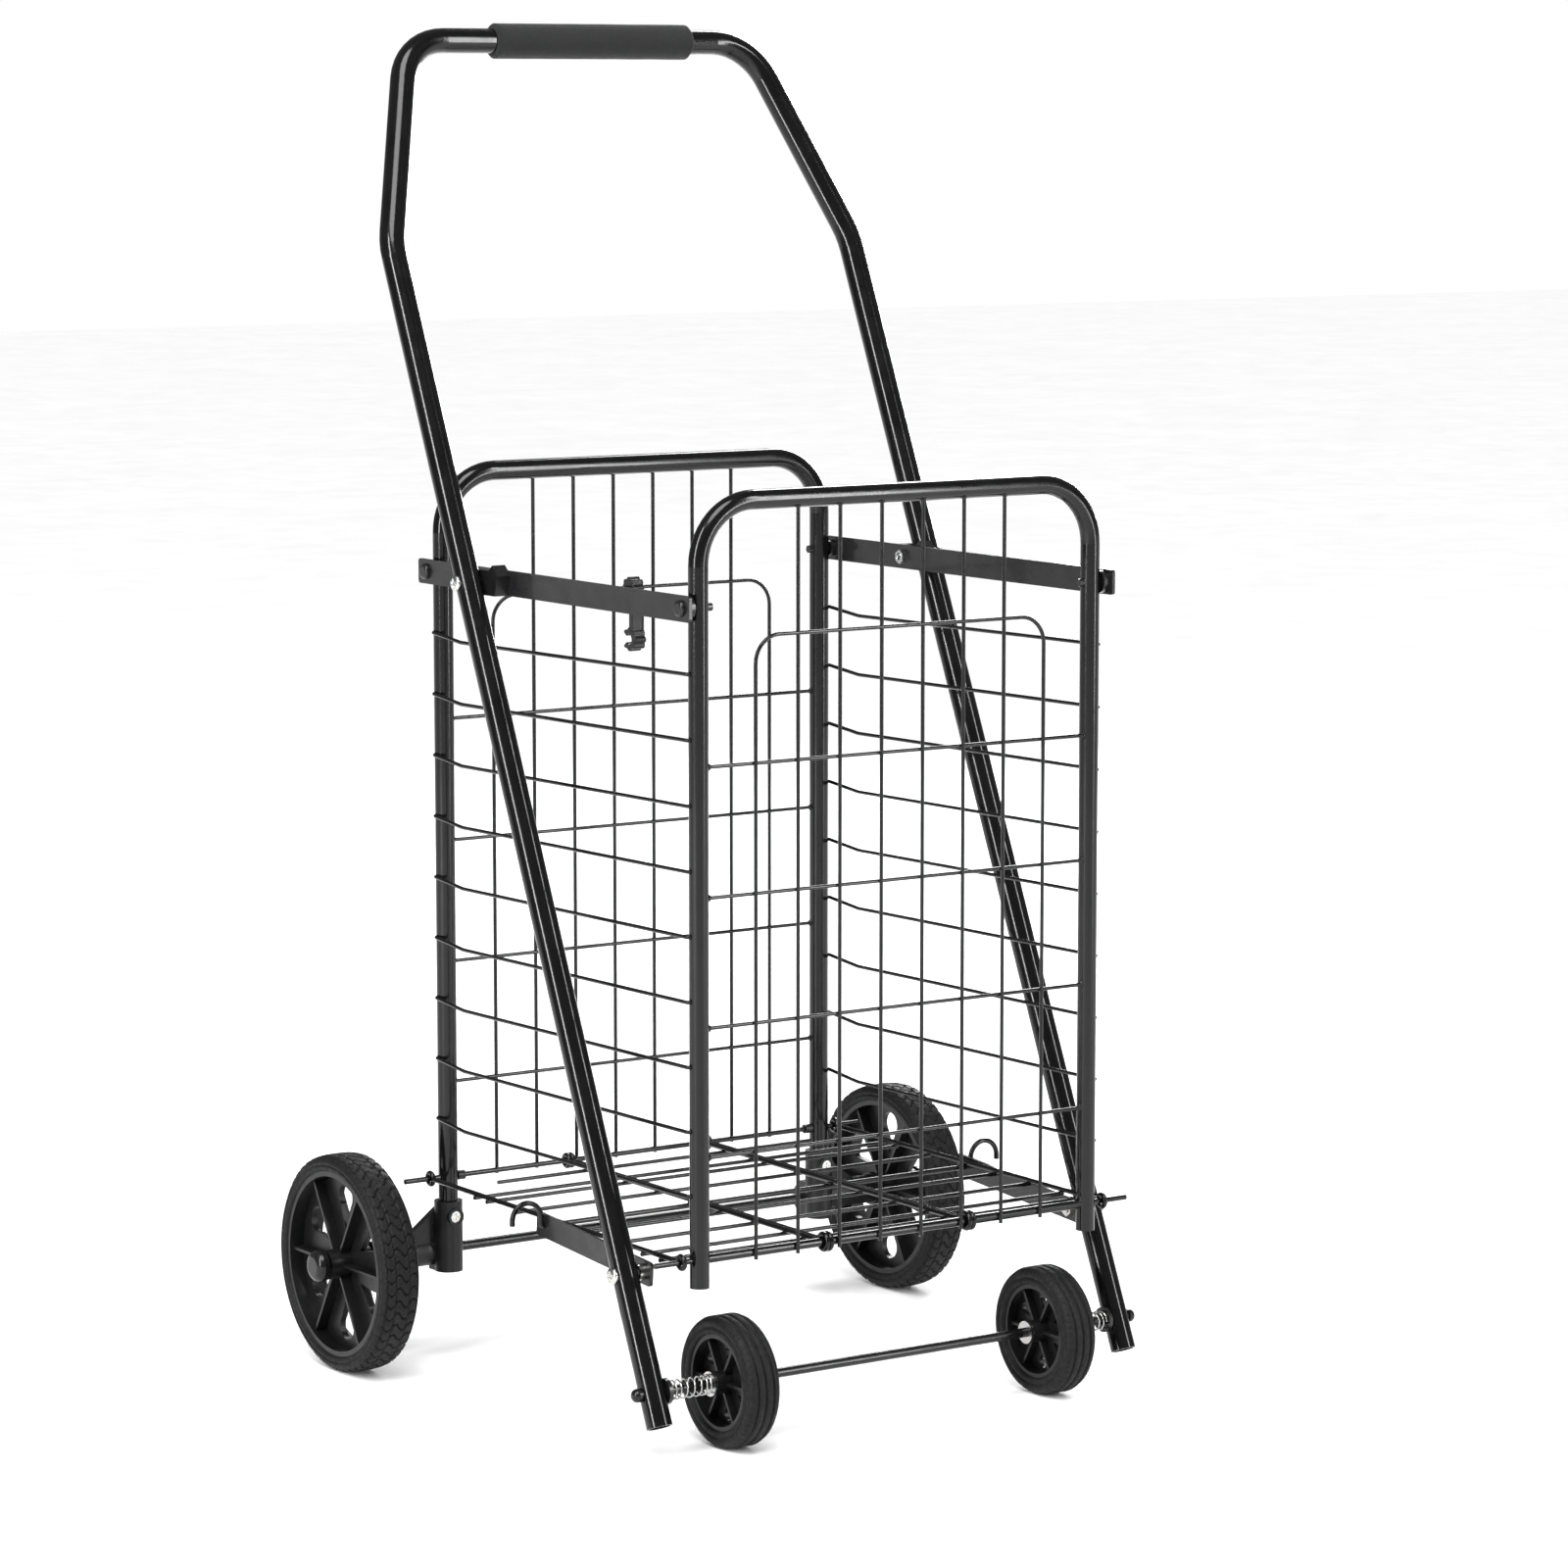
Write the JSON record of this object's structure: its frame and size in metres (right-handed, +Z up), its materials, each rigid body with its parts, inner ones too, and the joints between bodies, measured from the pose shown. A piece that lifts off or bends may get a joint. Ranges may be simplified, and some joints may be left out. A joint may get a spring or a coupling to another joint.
{
  "type": "folding shopping trolley",
  "caption": "Folding shopping trolley: wire basket between two tube frames, leaning looped handle with foam grip, large rear wheels and small sprung front wheels.",
  "frame": {"origin": "on the floor, under the middle of the overall box", "axes": "+X to the right along the axles, -Y towards the small front wheels, +Z up"},
  "size_m": [0.48, 0.41, 0.857],
  "materials": {
    "painted_tube": "glossy black powder coat",
    "painted_wire": "glossy black powder coat on drawn wire",
    "painted_axle": "semi-gloss black",
    "painted_flat_bar": "semi-gloss black powder coat on flat bar",
    "dark_hardware": "blackened steel",
    "zinc_steel": "bright zinc plate",
    "foam": "soft closed-cell foam, matt",
    "tyre_rubber": "matt black rubber",
    "wheel_plastic": "moulded black plastic, fine grain",
    "cap_plastic": "smooth black plastic",
    "bracket_plastic": "moulded black plastic, satin",
    "clip_plastic": "moulded black plastic, satin"
  },
  "bodies": {
    "rear_frame": {"rear_frame_tube": "painted_tube", "rear_panel_grille": "painted_wire", "rear_bottom_rod": "painted_wire", "rear_rod_collars": "clip_plastic", "rear_strap_bolts": "dark_hardware", "rear_strap_spacers": "clip_plastic", "rear_axle": "painted_axle", "left_axle_bracket": "bracket_plastic", "right_axle_bracket": "bracket_plastic", "bracket_screws": "zinc_steel", "left_hub_cap": "cap_plastic", "right_hub_cap": "cap_plastic", "rear_wheel_washers": "dark_hardware"},
    "straps": {"left_strap": "painted_flat_bar", "right_strap": "painted_flat_bar", "left_handle_spacer": "clip_plastic", "right_handle_spacer": "clip_plastic", "handle_pivot_bolts": "zinc_steel", "handle_pivot_nuts": "zinc_steel", "front_strap_bolts": "dark_hardware", "front_strap_washers": "dark_hardware"},
    "front_frame": {"front_frame_tube": "painted_tube", "front_panel_grille": "painted_wire", "front_bottom_rod": "painted_wire", "front_rod_sleeve": "painted_wire"},
    "shelf": {"shelf_grille": "painted_wire", "hook_wire": "painted_wire"},
    "links": {"left_link": "painted_flat_bar", "right_link": "painted_flat_bar", "link_nuts": "zinc_steel", "link_pins": "zinc_steel"},
    "handle": {"handle_tube": "painted_tube", "foam_grip": "foam", "front_axle": "painted_axle", "link_bolts": "zinc_steel", "front_axle_washers": "dark_hardware", "front_retaining_rings": "zinc_steel", "left_wheel_spring": "zinc_steel", "right_wheel_spring": "zinc_steel"},
    "clip": {"fold_clip": "clip_plastic"},
    "side_wires_1": {"side_wires_1": "painted_wire"},
    "side_wires_2": {"side_wires_2": "painted_wire"},
    "side_wires_3": {"side_wires_3": "painted_wire"},
    "side_wires_4": {"side_wires_4": "painted_wire"},
    "side_wires_5": {"side_wires_5": "painted_wire"},
    "side_wires_6": {"side_wires_6": "painted_wire"},
    "side_wires_7": {"side_wires_7": "painted_wire"},
    "side_wires_8": {"side_wires_8": "painted_wire"},
    "side_wires_9": {"side_wires_9": "painted_wire"},
    "left_seat": {"left_spring_seat": "zinc_steel"},
    "left_front_wheel": {"left_front_hub": "wheel_plastic", "left_front_tyre": "tyre_rubber"},
    "left_rear_wheel": {"left_rear_hub": "wheel_plastic", "left_rear_tyre": "tyre_rubber"},
    "right_seat": {"right_spring_seat": "zinc_steel"},
    "right_front_wheel": {"right_front_hub": "wheel_plastic", "right_front_tyre": "tyre_rubber"},
    "right_rear_wheel": {"right_rear_hub": "wheel_plastic", "right_rear_tyre": "tyre_rubber"}
  },
  "joints": [
    {"name": "basket_fold", "type": "hinge", "parent": "rear_frame", "child": "straps", "pos_m": [0, 0.125, 0.5115], "axis": [-1, 0, 0], "range_deg": [0, 81.8]},
    {"name": "front_frame_pivot", "type": "hinge", "parent": "straps", "child": "front_frame", "pos_m": [0, -0.171, 0.5115], "axis": [-1, 0, 0], "range_deg": [-81.9, 0]},
    {"name": "shelf_pivot", "type": "hinge", "parent": "rear_frame", "child": "shelf", "pos_m": [0, 0.125, 0.1195], "axis": [-1, 0, 0], "range_deg": [0, 81.9]},
    {"name": "side_wires_1_pivot", "type": "hinge", "parent": "rear_frame", "child": "side_wires_1", "pos_m": [0, 0.125, 0.4723], "axis": [-1, 0, 0], "range_deg": [0, 81.9]},
    {"name": "side_wires_2_pivot", "type": "hinge", "parent": "rear_frame", "child": "side_wires_2", "pos_m": [0, 0.125, 0.4331], "axis": [-1, 0, 0], "range_deg": [0, 81.9]},
    {"name": "side_wires_3_pivot", "type": "hinge", "parent": "rear_frame", "child": "side_wires_3", "pos_m": [0, 0.125, 0.3939], "axis": [-1, 0, 0], "range_deg": [0, 81.9]},
    {"name": "side_wires_4_pivot", "type": "hinge", "parent": "rear_frame", "child": "side_wires_4", "pos_m": [0, 0.125, 0.3547], "axis": [-1, 0, 0], "range_deg": [0, 81.9]},
    {"name": "side_wires_5_pivot", "type": "hinge", "parent": "rear_frame", "child": "side_wires_5", "pos_m": [0, 0.125, 0.3155], "axis": [-1, 0, 0], "range_deg": [0, 81.9]},
    {"name": "side_wires_6_pivot", "type": "hinge", "parent": "rear_frame", "child": "side_wires_6", "pos_m": [0, 0.125, 0.2763], "axis": [-1, 0, 0], "range_deg": [0, 81.9]},
    {"name": "side_wires_7_pivot", "type": "hinge", "parent": "rear_frame", "child": "side_wires_7", "pos_m": [0, 0.125, 0.2371], "axis": [-1, 0, 0], "range_deg": [0, 81.9]},
    {"name": "side_wires_8_pivot", "type": "hinge", "parent": "rear_frame", "child": "side_wires_8", "pos_m": [0, 0.125, 0.1979], "axis": [-1, 0, 0], "range_deg": [0, 81.9]},
    {"name": "side_wires_9_pivot", "type": "hinge", "parent": "rear_frame", "child": "side_wires_9", "pos_m": [0, 0.125, 0.1587], "axis": [-1, 0, 0], "range_deg": [0, 81.9]},
    {"name": "link_pivot", "type": "hinge", "parent": "shelf", "child": "links", "pos_m": [0, -0.022, 0.1155], "axis": [-1, 0, 0], "range_deg": [-163.8, 0]},
    {"name": "handle_pivot", "type": "hinge", "parent": "straps", "child": "handle", "pos_m": [0, 0.04321, 0.5115], "axis": [-1, 0, 0], "range_deg": [-103, 0]},
    {"name": "left_wheel_shift", "type": "slide", "parent": "handle", "child": "left_seat", "axis": [-1, 0, 0], "range_m": [0, 0.0045], "stiffness_N_per_m": 900, "springref_m": -0.004, "deforming": ["left_wheel_spring"]},
    {"name": "left_front_wheel_spin", "type": "hinge", "parent": "left_seat", "child": "left_front_wheel", "pos_m": [-0.119, -0.1645, 0.0405], "axis": [1, 0, 0], "continuous": true},
    {"name": "left_rear_wheel_spin", "type": "hinge", "parent": "rear_frame", "child": "left_rear_wheel", "pos_m": [-0.213, 0.135, 0.07], "axis": [1, 0, 0], "continuous": true},
    {"name": "right_wheel_shift", "type": "slide", "parent": "handle", "child": "right_seat", "axis": [1, 0, 0], "range_m": [0, 0.0045], "stiffness_N_per_m": 900, "springref_m": -0.004, "deforming": ["right_wheel_spring"]},
    {"name": "right_front_wheel_spin", "type": "hinge", "parent": "right_seat", "child": "right_front_wheel", "pos_m": [0.119, -0.1645, 0.0405], "axis": [1, 0, 0], "continuous": true},
    {"name": "right_rear_wheel_spin", "type": "hinge", "parent": "rear_frame", "child": "right_rear_wheel", "pos_m": [0.213, 0.135, 0.07], "axis": [1, 0, 0], "continuous": true},
    {"name": "clip_swing", "type": "hinge", "parent": "rear_frame", "child": "clip", "pos_m": [0, 0.1276, 0.493], "axis": [-1, 0, 0], "range_deg": [0, 90]}
  ],
  "couplings": [
    {"joint": "front_frame_pivot", "follows": "basket_fold", "ratio": -1},
    {"joint": "shelf_pivot", "follows": "basket_fold", "ratio": 1},
    {"joint": "link_pivot", "follows": "basket_fold", "ratio": -1.9995},
    {"joint": "handle_pivot", "follows": "basket_fold", "ratio": -1.2566},
    {"joint": "side_wires_1_pivot", "follows": "basket_fold", "ratio": 1},
    {"joint": "side_wires_2_pivot", "follows": "basket_fold", "ratio": 1},
    {"joint": "side_wires_3_pivot", "follows": "basket_fold", "ratio": 1},
    {"joint": "side_wires_4_pivot", "follows": "basket_fold", "ratio": 1},
    {"joint": "side_wires_5_pivot", "follows": "basket_fold", "ratio": 1},
    {"joint": "side_wires_6_pivot", "follows": "basket_fold", "ratio": 1},
    {"joint": "side_wires_7_pivot", "follows": "basket_fold", "ratio": 1},
    {"joint": "side_wires_8_pivot", "follows": "basket_fold", "ratio": 1},
    {"joint": "side_wires_9_pivot", "follows": "basket_fold", "ratio": 1}
  ]
}
